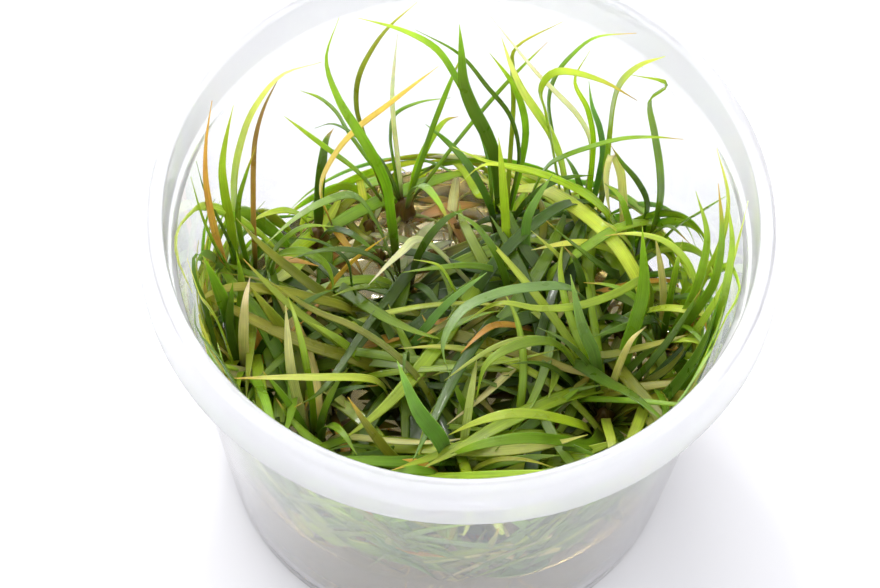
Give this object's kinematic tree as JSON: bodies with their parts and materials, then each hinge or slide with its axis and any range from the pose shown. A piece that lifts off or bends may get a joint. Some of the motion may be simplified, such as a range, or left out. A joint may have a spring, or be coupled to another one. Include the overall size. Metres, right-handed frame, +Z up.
{
  "type": "narrow-leaved chain sword plantlets in a tissue culture cup",
  "caption": "Open round milky clear culture cup with a layer of clear gel, in which tufts of long narrow green grass-like leaves grow and arch against the wall, a few of them orange or yellow.",
  "frame": {"origin": "centre of the cup's base, on the surface that it stands on", "axes": "+Z up along the cup's axis; -Y towards the viewer, +X to the viewer's right"},
  "size_m": [0.087, 0.087, 0.065],
  "materials": {
    "cup": "milky clear moulded polypropylene, satin, hazy where the leaves show through",
    "gel": "clear, faintly amber jelly with a wet surface",
    "plantlet": "green leaves from a brown crown, with pale roots",
    "bright_leaf": "fresh yellow-green blade, satin, wet in places",
    "green_leaf": "mid green blade, satin",
    "dark_leaf": "dark green blade, satin",
    "teal_leaf": "cool green blade, satin",
    "sage_leaf": "greyed green blade, satin",
    "olive_leaf": "brownish green ageing blade",
    "lime_leaf": "light yellow-green blade, satin",
    "pale_leaf": "bleached pale yellow-green blade",
    "yellow_leaf": "yellowed dying blade",
    "orange_leaf": "orange-brown dying blade",
    "brown_leaf": "brown dead blade"
  },
  "bodies": {
    "root": {"cup": "cup", "culture_gel": "gel", "plantlet_left": "plantlet", "plantlet_left_wall": "plantlet", "plantlet_middle_left": "plantlet", "plantlet_front_middle": "plantlet", "plantlet_front_left": "plantlet", "plantlet_back": "plantlet", "plantlet_back_middle": "plantlet", "plantlet_back_right": "plantlet", "plantlet_back_left": "plantlet", "plantlet_right_back": "plantlet", "plantlet_middle": "plantlet", "plantlet_middle_right": "plantlet", "plantlet_right": "plantlet", "plantlet_front_right": "plantlet", "plantlet_front": "plantlet", "orange_leaf_left": "orange_leaf", "leaf_left_1": "bright_leaf", "leaf_left_2": "lime_leaf", "brown_leaf_left": "brown_leaf", "leaf_left_3": "green_leaf", "hooked_leaf_left": "dark_leaf", "leaf_left_wall": "green_leaf", "orange_leaf_low": "orange_leaf", "leaf_middle_1": "olive_leaf", "leaf_middle_2": "green_leaf", "orange_leaf_middle": "orange_leaf", "leaf_front_left_1": "bright_leaf", "leaf_front_left_2": "lime_leaf", "leaf_middle_3": "teal_leaf", "yellow_leaf_front": "yellow_leaf", "leaf_back_1": "olive_leaf", "leaf_back_2": "green_leaf", "leaf_back_3": "dark_leaf", "leaf_back_4": "bright_leaf", "orange_leaf_back": "orange_leaf", "leaf_back_right_1": "pale_leaf", "leaf_back_right_2": "lime_leaf", "leaf_back_right_3": "green_leaf", "leaf_back_right_4": "bright_leaf", "leaf_back_right_5": "bright_leaf", "folded_leaf_right": "green_leaf", "yellow_leaf_hanging": "yellow_leaf", "leaf_right_1": "green_leaf", "leaf_right_2": "bright_leaf", "leaf_right_3": "bright_leaf", "leaf_right_4": "lime_leaf", "leaf_right_5": "lime_leaf", "leaf_right_wall_1": "green_leaf", "leaf_right_wall_2": "dark_leaf", "leaf_front_right_1": "lime_leaf", "leaf_front_right_2": "sage_leaf", "leaf_front_right_3": "green_leaf", "leaf_front_1": "sage_leaf", "leaf_front_2": "bright_leaf", "leaf_front_3": "bright_leaf", "leaf_front_4": "teal_leaf", "orange_leaf_front": "orange_leaf", "pale_leaf_middle": "pale_leaf"}
  },
  "joints": []
}
